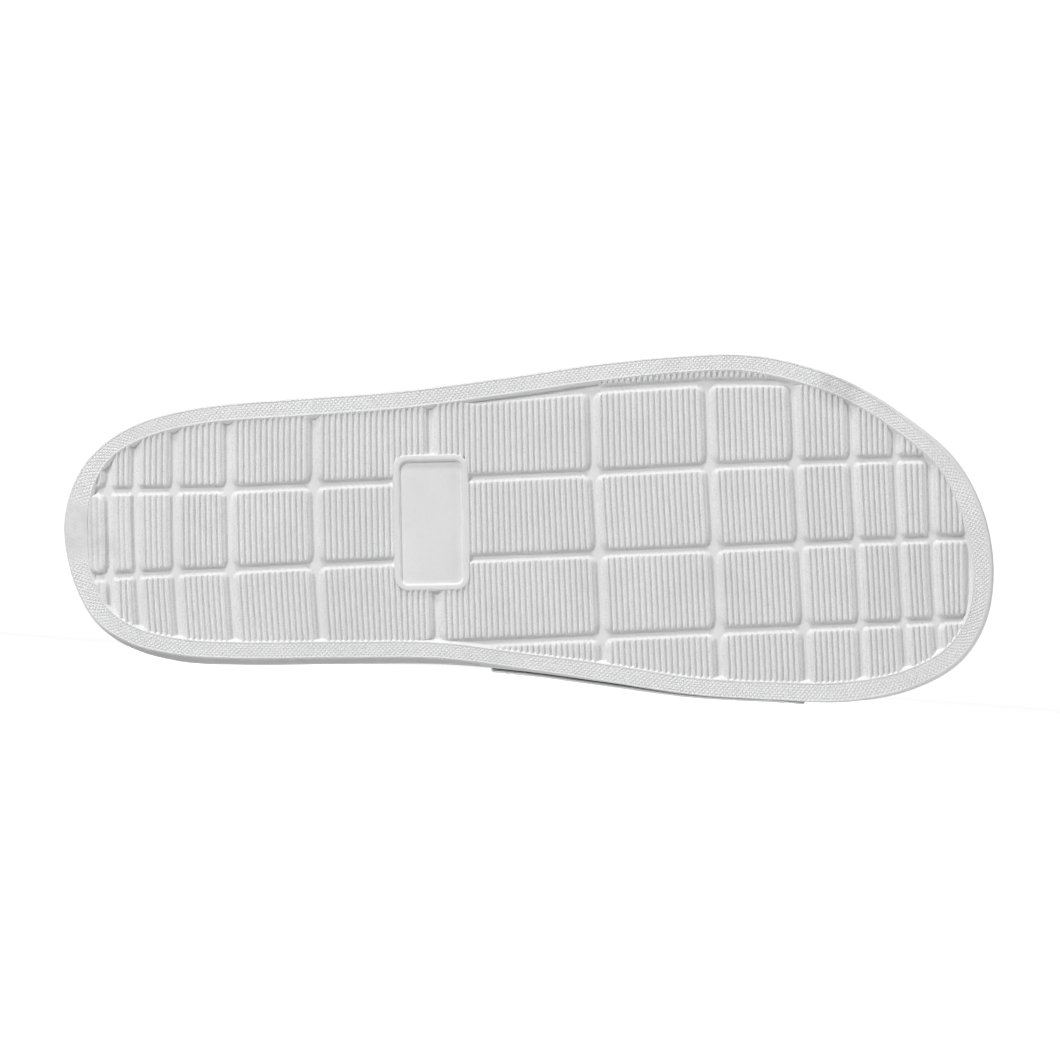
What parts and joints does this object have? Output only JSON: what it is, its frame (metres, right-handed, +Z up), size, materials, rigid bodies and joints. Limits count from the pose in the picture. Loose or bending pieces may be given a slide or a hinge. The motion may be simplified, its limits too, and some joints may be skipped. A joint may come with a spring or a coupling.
{
  "type": "sport slide sandal",
  "caption": "Right slide sandal with a moulded foam sole, blocked tread with a blank plate in the arch, dished footbed and one broad open-toe strap, lying on its inner side",
  "frame": {"origin": "middle of the box that holds the shoe, on the floor that it lies on", "axes": "+X from heel to toe, +Z up from the inner side that it lies on to the outer side, -Y out of the tread, +Y towards the instep"},
  "size_m": [0.2858, 0.0666, 0.1076],
  "materials": {
    "sole_foam": "white moulded foam, satin, fine ribs on the tread and a fine lattice on its rim",
    "footbed_foam": "white moulded foam with a fine dimpled grain, matt",
    "strap_cover": "white coated synthetic leather over thin padding, fine grain, stitched edges",
    "strap_lining": "white knitted lining"
  },
  "bodies": {
    "root": {"sole": "sole_foam", "footbed": "footbed_foam", "strap": "strap_cover"}
  },
  "joints": []
}
